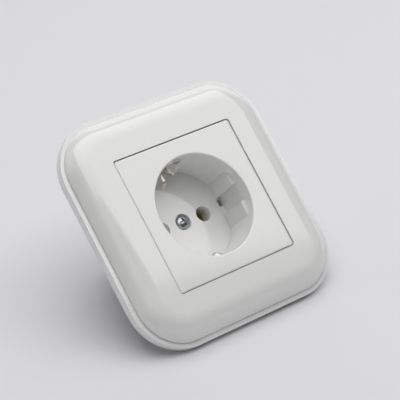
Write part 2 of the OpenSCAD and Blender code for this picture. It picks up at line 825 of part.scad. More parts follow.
module pin_terminal_screw() terminal_screw(terminal_pos, terminal_top + 0.6, wire_y + 0.6);

module live_contact() pin_contact();
module live_terminal() pin_terminal();
module live_terminal_screw() pin_terminal_screw();
module neutral_contact() mirror([1, 0, 0]) pin_contact();
module neutral_terminal() mirror([1, 0, 0]) pin_terminal();
module neutral_terminal_screw() mirror([1, 0, 0]) pin_terminal_screw();

// The ramp on a claw's flanges: it clears the nut's ears by the same gap with the nut at its
// rear end and the claw closed, and with the nut at its front end and the claw open.
pivot = [pivot_pos, -pivot_depth];
ear_rear = [ear_x, -nut_depth];
ear_front = turned([ear_x, -nut_depth + nut_travel], pivot, -claw_angle);
ramp_dir = unit(ear_front - ear_rear);
ramp_side = [ramp_dir[1], -ramp_dir[0]];
ramp_rear = ear_rear + ramp_side * (nose_r + ramp_gap) - ramp_dir * 1.5;
ramp_front = ear_front + ramp_side * (nose_r + ramp_gap) + ramp_dir * 0.6;

module claw() {
    web_in = claw_out - claw_t;
    web_mid = claw_out - claw_t / 2;
    half = claw_w / 2;
    tooth_root = claw_l - 2.8;
    color(steel) {
        intersection() {
            across_y(-half, half)
                polygon(strip([[web_mid, -1.2], [web_mid, -tooth_root + 0.6],
                               [web_mid + tooth_out, -claw_l - 0.3]], claw_t));
            // Outline of the web with its two teeth
            across_x(web_in - 1, claw_out + tooth_out + 2)
                polygon([[-half, 0], [half, 0], [half, -tooth_root], [half * 0.64, -claw_l],
                         [1, -tooth_root], [-1, -tooth_root], [-half * 0.64, -claw_l], [-half, -tooth_root]]);
        }
        mirrored_y() {
            across_y(half - claw_t, half)
                polygon([[pivot_pos - 1.8, -1.2], [web_in + 0.2, -1.2], [web_in + 0.2, -tooth_root + 1],
                         [ramp_rear[0], max(ramp_rear[1], -tooth_root + 0.4)], ramp_rear, ramp_front,
                         [pivot_pos - flange_in, -flange_foot]]);
            translate([pivot_pos, half - claw_t, -pivot_depth])
                rotate([-90, 0, 0]) cylinder(d = trunnion_d, h = claw_t + lug_t + 0.35);
        }
    }
}

module claw_screw() {
    seat = ring_t + 0.2;
    color(zinc)
        translate([claw_pos, 0, seat])
            difference() {
                union() {
                    translate([0, 0, -claw_screw_l]) cylinder(d = claw_screw_d, h = claw_screw_l + 0.1);
                    cylinder(d = claw_head_d, h = 2.2);
                }
                translate([0, 0, 2.2]) cross_recess(claw_head_d * recess_share, 0.9, 1.2);
            }
}

module claw_nut() {
    color(zinc)
        difference() {
            union() {
                box([nut_in, -nut_half_w, -nut_depth - nut_t / 2], [nut_out, nut_half_w, -nut_depth + nut_t / 2]);
                // Ears that bear on the claw's ramps
                across_y(-ear_half_w, ear_half_w) {
                    translate([ear_x, -nut_depth]) circle(nose_r);
                    translate([nut_in, -nut_depth - nose_r]) square([ear_x - nut_in, 2 * nose_r]);
                }
            }
            translate([claw_pos, 0, -nut_depth - nut_t])
                cylinder(d = claw_screw_d + 2 * run_gap, h = 2 * nut_t);
        }
}

module claw_right() claw();
module claw_left() mirror([1, 0, 0]) claw();
module claw_screw_right() claw_screw();
module claw_screw_left() mirror([1, 0, 0]) claw_screw();
module claw_nut_right() claw_nut();
module claw_nut_left() mirror([1, 0, 0]) claw_nut();

on_wall() cover_frame();
on_wall() centre_plate();
on_wall() centre_screw();
on_wall() support_ring();
on_wall() ring_rivets();
on_wall() socket_base();
on_wall() base_back();
on_wall() back_screws();
on_wall() screw_bush();
on_wall() earth_strap();
on_wall() earth_terminal();
on_wall() earth_terminal_screw();
on_wall() live_contact();
on_wall() live_terminal();
on_wall() live_terminal_screw();
on_wall() neutral_contact();
on_wall() neutral_terminal();
on_wall() neutral_terminal_screw();
on_wall() claw_left();
on_wall() claw_right();
on_wall() claw_screw_left();
on_wall() claw_screw_right();
on_wall() claw_nut_left();
on_wall() claw_nut_right();
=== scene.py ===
"""Looks of an earthed wall socket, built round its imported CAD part.

The white mouldings, sheet steel, plated screws and brass get their finishes here. The screws
that show are modelled with their threads and cross recesses, and the earth clips with their
rounded outlines. Sizes are in metres, in the part's own frame: X to the right, Z up the wall,
and the front faces -Y.
"""

import math

import bmesh
import bpy
from bpy.props import FloatProperty, FloatVectorProperty, IntProperty, PointerProperty
from mathutils import Matrix, Vector


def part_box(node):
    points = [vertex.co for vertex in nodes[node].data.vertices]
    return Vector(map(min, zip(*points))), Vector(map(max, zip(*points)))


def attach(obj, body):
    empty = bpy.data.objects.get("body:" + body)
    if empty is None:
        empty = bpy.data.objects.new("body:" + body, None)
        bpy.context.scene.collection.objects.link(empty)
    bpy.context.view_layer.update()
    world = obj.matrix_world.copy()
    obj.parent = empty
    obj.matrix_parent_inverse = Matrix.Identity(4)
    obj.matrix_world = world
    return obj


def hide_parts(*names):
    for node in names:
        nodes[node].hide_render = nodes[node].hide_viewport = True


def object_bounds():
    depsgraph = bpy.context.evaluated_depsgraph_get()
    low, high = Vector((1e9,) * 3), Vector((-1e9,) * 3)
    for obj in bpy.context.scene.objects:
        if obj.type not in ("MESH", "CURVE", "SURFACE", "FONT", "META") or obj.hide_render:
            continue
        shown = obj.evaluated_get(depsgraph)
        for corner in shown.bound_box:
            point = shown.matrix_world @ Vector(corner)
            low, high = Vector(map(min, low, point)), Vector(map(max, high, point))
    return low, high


bl_info = {
    "name": "Earthed wall socket",
    "version": (1, 0, 0),
    "blender": (4, 5, 0),
    "location": "View3D > Sidebar > Wall socket",
    "description": "Finishes, threaded screws, earth clips and studio stage of a wall socket",
    "category": "Object",
}

# Rounding of the CAD meshes' edges
WELD_REACH = 1e-6  # points of a mesh that lie no farther apart become one
SHARP_ANGLE = math.radians(40)  # edges that turn by more are rounded
EDGE_SEGMENTS = 2
PLATE_EDGE_SHARE = 0.7  # the centre plate's rounding, as a share of the edge setting
RIVET_EDGE_SHARE = 2  # the rivets' rounding, as a share of the metal edge setting

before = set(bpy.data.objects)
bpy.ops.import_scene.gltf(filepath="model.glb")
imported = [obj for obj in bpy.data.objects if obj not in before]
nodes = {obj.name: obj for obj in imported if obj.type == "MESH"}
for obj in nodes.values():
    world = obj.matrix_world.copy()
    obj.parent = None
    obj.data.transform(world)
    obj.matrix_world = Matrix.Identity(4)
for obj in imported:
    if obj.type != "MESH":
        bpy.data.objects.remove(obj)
cad_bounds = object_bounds()


# Settings that a user would change


def colour_setting(name, description, default):
    """A colour property with the usual swatch."""
    return FloatVectorProperty(
        name=name, description=description, subtype="COLOR", size=3, min=0, max=1, default=default
    )


def length_setting(name, description, default):
    """A length property in metres."""
    return FloatProperty(
        name=name, description=description, default=default, min=0, precision=5, unit="LENGTH"
    )


def place_setting(name, description, default):
    """A place on an axis in metres, which may be negative."""
    return FloatProperty(
        name=name, description=description, default=default, precision=5, unit="LENGTH"
    )


def number_setting(name, description, default):
    """A plain number."""
    return FloatProperty(name=name, description=description, default=default)


def share_setting(name, description, default):
    """A plain number from 0 to 1."""
    return FloatProperty(name=name, description=description, default=default, min=0, max=1)


class SocketColours(bpy.types.PropertyGroup):
    """Colours of the socket's materials."""

    cover: colour_setting("Cover", "White of the frame and centre plate", (0.88, 0.88, 0.864))
    base: colour_setting("Base", "Pale grey of the base and its rear cover", (0.62, 0.63, 0.63))
    ring: colour_setting("Ring", "Zinc-coated sheet of the ring and claws", (0.56, 0.57, 0.59))
    clips: colour_setting("Clips", "Spring steel of the earth clips", (0.80, 0.765, 0.71))
    zinc: colour_setting("Screws", "Blue-passivated zinc of the screws", (0.38, 0.43, 0.45))
    zinc_tint: colour_setting("Screw tint", "Warmer patches of the zinc", (0.52, 0.54, 0.53))
    brass: colour_setting("Brass", "Brass of the contacts and terminals", (0.58, 0.42, 0.18))


class SocketFinishes(bpy.types.PropertyGroup):
    """Surface qualities of the socket's materials."""

    cover_roughness: share_setting("Cover roughness", "Roughness of the glossy mouldings", 0.07)
    cover_ior: number_setting("Cover index", "Refractive index of the glossy mouldings", 1.7)
    base_roughness: share_setting("Base roughness", "Roughness of the matt base", 0.52)
    sheet_roughness: share_setting("Sheet roughness", "Roughness of the sheet steel", 0.36)
    screw_roughness: share_setting("Screw roughness", "Roughness of the plated screws", 0.24)
    brass_roughness: share_setting("Brass roughness", "Roughness of the brass", 0.28)
    ripple: length_setting("Ripple", "Height of the ripple in the glossy mouldings", 0.000002)
    grain: length_setting("Grain", "Height of the grain on the matt base", 0.00001)
    streak: length_setting("Streak", "Height of the rolling marks on sheet metal", 0.000004)
    edge: length_setting("Edge", "Rounding of the mouldings' edges", 0.00018)
    metal_edge: length_setting("Metal edge", "Rounding of the metal parts' edges", 0.00008)


class SocketScrews(bpy.types.PropertyGroup):
    """Threads and recesses of the screws."""

    claw_pitch: length_setting("Claw pitch", "Pitch of the claw screws' thread", 0.0007)
    centre_pitch: length_setting("Centre pitch", "Pitch of the centre screw's thread", 0.0006)
    thread_share: share_setting("Thread depth", "Depth of a thread, as a share of its pitch", 0.58)
    recess_share: share_setting("Recess", "Width of a cross recess, as a share of the head", 0.6)
    thread_steps: IntProperty(
        name="Thread steps", description="Sides of a thread's turn", default=30, min=12, max=96
    )


class SocketClips(bpy.types.PropertyGroup):
    """Form of the earth clips."""

    riser: length_setting("Riser", "Distance of the risers' inside from the middle", 0.0216)
    shoulder: length_setting("Shoulder", "Depth of the shared riser below the strap's top", 0.0056)
    tongue_left: place_setting("Tongue left", "Left edge of the wide tongue", -0.0019)
    tongue_right: place_setting("Tongue right", "Right edge of the wide tongue", 0.003)
    notch: place_setting("Notch", "Right edge of the tongue's narrow top", 0.0011)
    tongue_reach: length_setting("Tongue reach", "Reach of the tongues from the middle", 0.0157)
    finger_left: place_setting("Finger left", "Left edge of the narrow finger", -0.0049)
    finger_width: length_setting("Finger width", "Width of the narrow finger", 0.0021)
    finger_crown: length_setting("Finger crown", "Crown of the narrow finger's front", 0.0001)
    finger_reach: length_setting("Finger reach", "Reach of the upper finger", 0.0132)
    low_finger_reach: length_setting("Lower finger reach", "Reach of the lower finger", 0.0152)


class SocketStage(bpy.types.PropertyGroup):
    """Floor, lamps and camera."""

    floor_colour: colour_setting("Floor", "Colour of the pale floor", (0.795, 0.795, 0.816))
    floor_size: length_setting("Floor size", "Width of the floor", 6.0)
    key_light: number_setting("Key softbox", "Brightness of the softbox overhead", 1.8)
    back_light: number_setting("Back softbox", "Brightness of the softbox behind", 0.75)
    left_light: number_setting("Left softbox", "Brightness of the softbox at the left", 0.55)
    front_light: number_setting("Front softbox", "Brightness of the softbox in front", 0.4)
    sky_strength: number_setting("Sky", "Strength of the even light", 0.11)
    lens: number_setting("Lens", "Focal length in millimetres", 159.6)


# Meshes


def joined(obj, others):
    """Adds the other objects' meshes to obj and removes those objects."""
    mesh = bmesh.new()
    for part in [obj, *others]:
        mesh.from_mesh(part.data)
    mesh.to_mesh(obj.data)
    mesh.free()
    for part in others:
        bpy.data.objects.remove(part)
    return obj


def new_object(name, points, faces, smooth=True):
    """A mesh object made of points and faces."""
    mesh = bpy.data.meshes.new(name)
    mesh.from_pydata([tuple(p) for p in points], [], faces)
    mesh.update()
    for polygon in mesh.polygons:
        polygon.use_smooth = smooth
    obj = bpy.data.objects.new(name, mesh)
    bpy.context.scene.collection.objects.link(obj)
    return obj


def ring_faces(rings, count, falling=False):
    """Faces that join rings of count points into a closed body, both ends included.

    The rings turn anticlockwise seen from above, and each lies above the last, or below it.
    """
    faces = []
    for row in range(rings - 1):
        here, there = row * count, (row + 1) * count
        for i in range(count):
            j = (i + 1) % count
            if falling:
                faces.append((here + i, there + i, there + j, here + j))
            else:
                faces.append((here + i, here + j, there + j, there + i))
    first = tuple(range(count))
    last = tuple((rings - 1) * count + i for i in range(count))
    return faces + ([first, last[::-1]] if falling else [first[::-1], last])


def revolved(name, profile, steps):
    """A solid of revolution about local Z from (radius, height) pairs, closed at both ends."""
    points = []
    for radius, height in profile:
        for i in range(steps):
            turn = 2 * math.pi * i / steps
            points.append((radius * math.cos(turn), radius * math.sin(turn), height))
    return new_object(name, points, ring_faces(len(profile), steps))


THREAD_ROWS = 6  # rings of points in each turn of a thread
THREAD_START = 0.25  # share of its height that a thread has where it meets the head


def threaded_rod(name, radius, length, pitch, depth, steps):
    """A rod from z = -length to z = 0 with a helical thread that runs out at both ends."""
    rows = int(length / pitch * THREAD_ROWS)
    points = []
    for row in range(rows + 1):
        height = -length * row / rows
        run_out = min(1.0, (length + height) / pitch, THREAD_START - height / pitch)
        for i in range(steps):
            turn = i / steps
            phase = (height / pitch + turn) % 1.0
            groove = 1.0 - abs(2.0 * phase - 1.0)
            here = radius - depth * (1.0 - groove * max(run_out, 0.0))
            angle = 2 * math.pi * turn
            points.append((here * math.cos(angle), here * math.sin(angle), height))
    return new_object(name, points, ring_faces(rows + 1, steps, falling=True))


RECESS_TAPER = (1.12, 1.0, 0.42)  # length of the wings above the head, at its top, at the foot
WING_LEAST = 0.62  # share of its width that a wing keeps however much it tapers
CUTTER_ABOVE = 0.2  # how far the cutter stands out above the head, as a share of its width


def cross_cutter(width, wing, depth, top):
    """A tapered cross that cuts a recess of that width into a head whose top is at z = top."""
    points, outline = [], []
    half, thin = width / 2, wing / 2
    for quarter in range(4):
        turn = Matrix.Rotation(quarter * math.pi / 2, 2)
        for corner in ((half, -thin), (half, thin), (thin, thin)):
            outline.append(turn @ Vector(corner))
    # Corners that lie farther out than this are at the wings' tips
    tip = thin * 1.01
    heights = (top + CUTTER_ABOVE * width, top, top - depth)
    for height, share in zip(heights, RECESS_TAPER):
        # The wings narrow towards the foot, and less across than along
        keep = WING_LEAST + (1.0 - WING_LEAST) * share
        for corner in outline:
            long_way = corner * share
            x = long_way.x if abs(corner.x) > tip else corner.x * keep
            y = long_way.y if abs(corner.y) > tip else corner.y * keep
            points.append((x, y, height))
    faces = ring_faces(len(heights), len(outline), falling=True)
    return new_object("recess_cutter", points, faces, smooth=False)


def cut_away(obj, cutter):
    """Takes the cutter's volume out of obj for good."""
    cut = obj.modifiers.new("Cut", "BOOLEAN")
    cut.operation = "DIFFERENCE"
    cut.solver = "EXACT"
    cut.object = cutter
    bpy.context.view_layer.update()
    seen = obj.evaluated_get(bpy.context.evaluated_depsgraph_get())
    mesh = bpy.data.meshes.new_from_object(seen)
    obj.modifiers.clear()
    obj.data = mesh
    bpy.data.objects.remove(cutter)
    if not mesh.polygons:
        raise RuntimeError(f"The cut emptied {obj.name}")


CORNER_STEPS = 8  # steps of a path's rounded corner


def bent_path(corners, radius, count):
    """Evenly spaced points along a line through the corners, its inner corners rounded."""
    line = [Vector(corners[0])]
    for before, corner, after in zip(corners, corners[1:], corners[2:]):
        corner = Vector(corner)
        back_way = (Vector(before) - corner).normalized()
        on_way = (Vector(after) - corner).normalized()
        half = back_way.angle(on_way) / 2
        centre = corner + (back_way + on_way).normalized() * radius / math.sin(half)
        start = corner + back_way * radius / math.tan(half) - centre
        end = corner + on_way * radius / math.tan(half) - centre
        for i in range(CORNER_STEPS + 1):
            line.append(centre + start.lerp(end, i / CORNER_STEPS).normalized() * radius)
    line.append(Vector(corners[-1]))
    lengths = [0.0]
    for here, there in zip(line, line[1:]):
        lengths.append(lengths[-1] + (there - here).length)
    points, row = [], 0
    for i in range(count):
        goal = lengths[-1] * i / (count - 1)
        while row < len(line) - 2 and lengths[row + 1] < goal:
            row += 1
        share = (goal - lengths[row]) / (lengths[row + 1] - lengths[row])
        points.append(line[row].lerp(line[row + 1], share))
    return points


EDGE_ANGLES = (-90, -50, 0, 50, 90)  # points round a strip's long edges, in degrees
FACE_PLACES = (0.5, 0.0, -0.5)  # points across a strip's faces, as shares of the half width
EDGE_LIMIT = 0.6  # most of the half width that a rounded edge may take


def formed_sheet(name, path, span, thickness, crown):
    """A strip of sheet along (z, y) points, its front raised by crown in the middle.

    span gives the strip's left and right edge for a share of its length.
    """
    points = []
    bend = [math.radians(angle) for angle in EDGE_ANGLES]
    last = len(path) - 1
    # The front is on the same side of the whole path, whichever way the path turns
    first_out = Vector((path[0].y - path[1].y, path[1].x - path[0].x))
    outward = 1.0 if first_out.x * path[0].x > 0 else -1.0
    for i, place in enumerate(path):
        ahead = (path[min(i + 1, last)] - path[max(i - 1, 0)]).normalized()
        out = Vector((-ahead.y, ahead.x))
        left, right = span(i / last)
        middle, half = (left + right) / 2, (right - left) / 2
        soft = min(thickness / 2, half * EDGE_LIMIT)
        flat = [(half - soft) * share for share in FACE_PLACES]
        ring = [(half - soft + soft * math.cos(a), math.sin(a)) for a in bend]
        ring += [(x, 1.0) for x in flat]
        ring += [(-half + soft - soft * math.cos(a), math.sin(a)) for a in reversed(bend)]
        ring += [(-x, -1.0) for x in flat]
        for x, side in ring:
            lift = crown * (1.0 - (x / half) ** 2)
            spot = place + out * (side * thickness / 2 + lift * outward)
            points.append((middle + x, spot.y, spot.x))
    count = 2 * (len(EDGE_ANGLES) + len(FACE_PLACES))
    obj = new_object(name, points, ring_faces(len(path), count))
    mesh = bmesh.new()
    mesh.from_mesh(obj.data)
    bmesh.ops.recalc_face_normals(mesh, faces=mesh.faces)
    mesh.to_mesh(obj.data)
    mesh.free()
    return obj


def block(name, low, high):
    """A box between two corners."""
    points = [
        (x, y, z) for x in (low[0], high[0]) for y in (low[1], high[1]) for z in (low[2], high[2])
    ]
    faces = [(0, 1, 3, 2), (4, 6, 7, 5), (0, 4, 5, 1), (2, 3, 7, 6), (0, 2, 6, 4), (1, 5, 7, 3)]
    return new_object(name, points, faces, smooth=False)


def round_edges(obj, width):
    """Joins the CAD mesh's faces and rounds its sharp edges, as a modifier."""
    weld = obj.modifiers.new("Join faces", "WELD")
    weld.merge_threshold = WELD_REACH
    bevel = obj.modifiers.new("Round edges", "BEVEL")
    bevel.width = width
    bevel.segments = EDGE_SEGMENTS
    bevel.limit_method = "ANGLE"
    bevel.angle_limit = SHARP_ANGLE
    bevel.harden_normals = True
    bevel.use_clamp_overlap = True


# Form of a screw
SHANK_SHARE = 0.57  # the shank's radius, as a share of the head's
FOOT_SHARE = 0.9  # radius of the head's closed foot, as a share of the shank's
CHAMFER_SHARE = 0.12  # the chamfer under the head, as a share of its height
DOME_TURN = 0.93  # how far the dome goes round to its middle, which stays flat
DOME_STEPS = 8
HEAD_STEPS = 64
WING_SHARE = 0.24  # width of the recess's wings, as a share of the recess's
RECESS_DEPTH = 0.62  # shares of the head's height
RECESS_TOP = 0.97


def screw(name, node, head_height, pitch, dome_share, head_share=1.0):
    """A screw with a domed or pan head, cross recess and thread, in place of a node facing -Y."""
    settings = bpy.context.scene.socket_screws
    low, high = (Vector(corner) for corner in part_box(node))
    head_r = (high.x - low.x) / 2 * head_share
    total = high.y - low.y
    middle = (low + high) / 2
    shank_r = head_r * SHANK_SHARE
    dome = head_height * dome_share
    side = head_height - dome
    chamfer = CHAMFER_SHARE * head_height
    profile = [
        (shank_r * FOOT_SHARE, 0.0), (head_r - chamfer, 0.0), (head_r, chamfer), (head_r, side),
    ]
    for i in range(1, DOME_STEPS + 1):
        quarter = i / DOME_STEPS * math.pi / 2
        profile.append((head_r * math.cos(quarter * DOME_TURN), side + dome * math.sin(quarter)))
    head = revolved(name, profile, HEAD_STEPS)
    width = 2 * head_r * settings.recess_share
    cut_away(head, cross_cutter(
        width, width * WING_SHARE, head_height * RECESS_DEPTH, head_height * RECESS_TOP
    ))
    depth = pitch * settings.thread_share
    steps = settings.thread_steps
    shank = threaded_rod(f"{name}_shank", shank_r, total - head_height, pitch, depth, steps)
    joined(head, [shank])
    facing = Matrix.Rotation(math.radians(90), 4, "X")
    seat = Vector((middle.x, low.y + head_height, middle.z))
    head.data.transform(Matrix.Translation(seat) @ facing)
    head.data.update()
    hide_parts(node)
    return head


# Shader effects that several materials share


def effect(name, inputs, outputs):
    """A shader node group with named sockets, and its entry and exit nodes."""
    group = bpy.data.node_groups.new(name, "ShaderNodeTree")
    for label, kind, default in inputs:
        socket = group.interface.new_socket(label, in_out="INPUT", socket_type=kind)
        socket.default_value = default
    for label, kind in outputs:
        group.interface.new_socket(label, in_out="OUTPUT", socket_type=kind)
    return group, group.nodes.new("NodeGroupInput"), group.nodes.new("NodeGroupOutput")


def add_node(tree, kind, **values):
    """A node of that kind, with the named inputs set."""
    node = tree.nodes.new(kind)
    for label, value in values.items():
        node.inputs[label.replace("_", " ")].default_value = value
    return node


def varied(group, value, source, least, most):
    """The value times a number that goes from least to most with the source."""
    spread = group.nodes.new("ShaderNodeMapRange")
    spread.inputs["To Min"].default_value = least
    spread.inputs["To Max"].default_value = most
    group.links.new(source, spread.inputs["Value"])
    product = group.nodes.new("ShaderNodeMath")
    product.operation = "MULTIPLY"
    group.links.new(value, product.inputs[0])
    group.links.new(spread.outputs["Result"], product.inputs[1])
    return product.outputs["Value"]


def ripple_effect():
    """Slow ripple of a polished moulding, and a trace of smudging in its gloss."""
    group, entry, leave = effect(
        "Moulded ripple",
        [("Roughness", "NodeSocketFloat", 0.25), ("Scale", "NodeSocketFloat", 300.0)],
        [("Height", "NodeSocketFloat"), ("Roughness", "NodeSocketFloat")],
    )
    link = group.links.new
    place = group.nodes.new("ShaderNodeTexCoord")
    wave = add_node(group, "ShaderNodeTexNoise", Detail=2.0, Roughness=0.4)
    link(place.outputs["Object"], wave.inputs["Vector"])
    link(entry.outputs["Scale"], wave.inputs["Scale"])
    smudge = add_node(group, "ShaderNodeTexNoise", Scale=60.0, Detail=4.0, Roughness=0.6)
    link(place.outputs["Object"], smudge.inputs["Vector"])
    rough = varied(group, entry.outputs["Roughness"], smudge.outputs["Fac"], 0.85, 1.2)
    link(wave.outputs["Fac"], leave.inputs["Height"])
    link(rough, leave.inputs["Roughness"])
    return group


def rolled_effect():
    """Rolling marks and slight staining of sheet metal."""
    group, entry, leave = effect(
        "Rolled sheet",
        [
            ("Colour", "NodeSocketColor", (0.6, 0.6, 0.6, 1.0)),
            ("Roughness", "NodeSocketFloat", 0.35),
            ("Stretch", "NodeSocketVector", (300.0, 300.0, 6000.0)),
        ],
        [
            ("Colour", "NodeSocketColor"),
            ("Roughness", "NodeSocketFloat"),
            ("Height", "NodeSocketFloat"),
        ],
    )
    link = group.links.new
    place = group.nodes.new("ShaderNodeTexCoord")
    stretch = group.nodes.new("ShaderNodeVectorMath")
    stretch.operation = "MULTIPLY"
    link(place.outputs["Object"], stretch.inputs[0])
    link(entry.outputs["Stretch"], stretch.inputs[1])
    marks = add_node(group, "ShaderNodeTexNoise", Scale=1.0, Detail=3.0, Roughness=0.6)
    link(stretch.outputs["Vector"], marks.inputs["Vector"])
    stain = add_node(group, "ShaderNodeTexNoise", Scale=180.0, Detail=3.0)
    link(place.outputs["Object"], stain.inputs["Vector"])
    shade = group.nodes.new("ShaderNodeMapRange")
    shade.inputs["To Min"].default_value = 0.82
    shade.inputs["To Max"].default_value = 1.12
    link(stain.outputs["Fac"], shade.inputs["Value"])
    colour = group.nodes.new("ShaderNodeVectorMath")
    colour.operation = "SCALE"
    link(entry.outputs["Colour"], colour.inputs[0])
    link(shade.outputs["Result"], colour.inputs["Scale"])
    rough = varied(group, entry.outputs["Roughness"], marks.outputs["Fac"], 0.75, 1.35)
    link(colour.outputs["Vector"], leave.inputs["Colour"])
    link(rough, leave.inputs["Roughness"])
    link(marks.outputs["Fac"], leave.inputs["Height"])
    return group


def bloom_effect():
    """Patches where a plated or drawn metal changes its tint and gloss."""
    group, entry, leave = effect(
        "Plating bloom",
        [
            ("Colour", "NodeSocketColor", (0.6, 0.65, 0.72, 1.0)),
            ("Tint", "NodeSocketColor", (0.7, 0.7, 0.65, 1.0)),
            ("Roughness", "NodeSocketFloat", 0.25),
            ("Scale", "NodeSocketFloat", 700.0),
        ],
        [
            ("Colour", "NodeSocketColor"),
            ("Roughness", "NodeSocketFloat"),
            ("Height", "NodeSocketFloat"),
        ],
    )
    link = group.links.new
    place = group.nodes.new("ShaderNodeTexCoord")
    patches = add_node(group, "ShaderNodeTexNoise", Detail=4.0, Roughness=0.55)
    link(place.outputs["Object"], patches.inputs["Vector"])
    link(entry.outputs["Scale"], patches.inputs["Scale"])
    mix = group.nodes.new("ShaderNodeMix")
    mix.data_type = "RGBA"
    link(patches.outputs["Fac"], mix.inputs["Factor"])
    link(entry.outputs["Colour"], mix.inputs["A"])
    link(entry.outputs["Tint"], mix.inputs["B"])
    rough = varied(group, entry.outputs["Roughness"], patches.outputs["Fac"], 0.7, 1.4)
    link(mix.outputs["Result"], leave.inputs["Colour"])
    link(rough, leave.inputs["Roughness"])
    link(patches.outputs["Fac"], leave.inputs["Height"])
    return group


def shared(name, build):
    """The named effect, built the first time that it is asked for."""
    return bpy.data.node_groups.get(name) or build()


# Materials

SPRING_GLOSS = 0.75  # roughness of the spring sheet, as a share of the plain sheet's
BRASS_SHADE = 0.82  # darker patches of the brass, as a share of its colour


def rgba(colour):
    """A colour setting with full opacity."""
    return (*colour, 1.0)


def base_material(name):
    """A new material with its Principled shader, or the one that already has that name."""
    material = bpy.data.materials.get(name)
    if material:
        return material, None
    material = bpy.data.materials.new(name)
    material.use_nodes = True
    return material, material.node_tree.nodes["Principled BSDF"]


def place_effect(material, shader, group, height, **values):
    """Puts an effect into a material and links it to the shader, its height as a bump."""
    tree = material.node_tree
    placed = tree.nodes.new("ShaderNodeGroup")
    placed.node_tree = group
    for label, value in values.items():
        placed.inputs[label].default_value = value
    for label, target in (("Colour", "Base Color"), ("Roughness", "Roughness")):
        if label in placed.outputs:
            tree.links.new(placed.outputs[label], shader.inputs[target])
    bump = tree.nodes.new("ShaderNodeBump")
    bump.inputs["Distance"].default_value = height
    tree.links.new(placed.outputs["Height"], bump.inputs["Height"])
    tree.links.new(bump.outputs["Normal"], shader.inputs["Normal"])
    return placed


def glossy_white():
    """White urea moulding of the frame and centre plate."""
    colours, finish = bpy.context.scene.socket_colours, bpy.context.scene.socket_finishes
    material, shader = base_material("Glossy white moulding")
    if shader:
        shader.inputs["Base Color"].default_value = rgba(colours.cover)
        shader.inputs["IOR"].default_value = finish.cover_ior
        place_effect(
            material, shader, shared("Moulded ripple", ripple_effect), finish.ripple,
            Roughness=finish.cover_roughness, Scale=260.0,
        )
    return material


def matt_white():
    """Paler, unpolished moulding of the base and its rear cover."""
    colours, finish = bpy.context.scene.socket_colours, bpy.context.scene.socket_finishes
    material, shader = base_material("Matt pale moulding")
    if shader:
        shader.inputs["Base Color"].default_value = rgba(colours.base)
        place_effect(
            material, shader, shared("Moulded ripple", ripple_effect), finish.grain,
            Roughness=finish.base_roughness, Scale=1800.0,
        )
    return material


def metal(name, effect_name, build, **values):
    """A metal with the named effect, or the one that already has that name."""
    material, shader = base_material(name)
    if shader:
        shader.inputs["Metallic"].default_value = 1.0
        height = bpy.context.scene.socket_finishes.streak
        place_effect(material, shader, shared(effect_name, build), height, **values)
    return material


def sheet_steel():
    """Zinc-coated sheet of the support ring and the claws."""
    colours, finish = bpy.context.scene.socket_colours, bpy.context.scene.socket_finishes
    return metal(
        "Zinc-coated sheet", "Rolled sheet", rolled_effect,
        Colour=rgba(colours.ring), Roughness=finish.sheet_roughness,
        Stretch=(5000.0, 5000.0, 250.0),
    )


def spring_steel():
    """Bright spring sheet of the earth clips, rolled along the strap."""
    colours, finish = bpy.context.scene.socket_colours, bpy.context.scene.socket_finishes
    return metal(
        "Bright spring sheet", "Rolled sheet", rolled_effect,
        Colour=rgba(colours.clips), Roughness=finish.sheet_roughness * SPRING_GLOSS,
        Stretch=(7000.0, 400.0, 400.0),
    )


def plated_zinc():
    """Blue-passivated zinc of screws, nuts and rivets."""
    colours, finish = bpy.context.scene.socket_colours, bpy.context.scene.socket_finishes
    return metal(
        "Blue zinc plating", "Plating bloom", bloom_effect,
        Colour=rgba(colours.zinc), Tint=rgba(colours.zinc_tint),
        Roughness=finish.screw_roughness, Scale=700.0,
    )


def drawn_brass():
    """Brass of contacts, terminal blocks and the threaded bush."""
    colours, finish = bpy.context.scene.socket_colours, bpy.context.scene.socket_finishes
    duller = tuple(BRASS_SHADE * c for c in colours.brass)
    return metal(
        "Drawn brass", "Plating bloom", bloom_effect,
        Colour=rgba(colours.brass), Tint=rgba(duller), Roughness=finish.brass_roughness,
        Scale=420.0,
    )


def paint(obj, material):
    """Gives obj that material alone."""
    obj.data.materials.clear()
    obj.data.materials.append(material)


# One operator for each piece or group of like pieces


class BuildOperator:
    """What the build operators share: each can be undone."""

    bl_options = {"REGISTER", "UNDO"}


class SOCKET_OT_cover_frame(BuildOperator, bpy.types.Operator):
    """Finish the domed cover frame in glossy white with softened edges"""

    bl_idname = "socket.cover_frame"
    bl_label = "Cover frame"

    def execute(self, context):
        paint(nodes["cover_frame"], glossy_white())
        round_edges(nodes["cover_frame"], context.scene.socket_finishes.edge)
        return {"FINISHED"}


class SOCKET_OT_centre_plate(BuildOperator, bpy.types.Operator):
    """Finish the centre plate and its well in glossy white with softened edges"""

    bl_idname = "socket.centre_plate"
    bl_label = "Centre plate"

    def execute(self, context):
        paint(nodes["centre_plate"], glossy_white())
        round_edges(nodes["centre_plate"], context.scene.socket_finishes.edge * PLATE_EDGE_SHARE)
        return {"FINISHED"}


class SOCKET_OT_centre_screw(BuildOperator, bpy.types.Operator):
    """Build the centre screw with its domed head, cross recess and thread"""

    bl_idname = "socket.centre_screw"
    bl_label = "Centre screw"

    def execute(self, context):
        settings = context.scene.socket_screws
        piece = screw(
            "centre_screw_threaded", "centre_screw", head_height=0.0017,
            pitch=settings.centre_pitch, dome_share=0.72, head_share=0.92,
        )
        paint(piece, plated_zinc())
        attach(piece, "socket")
        return {"FINISHED"}


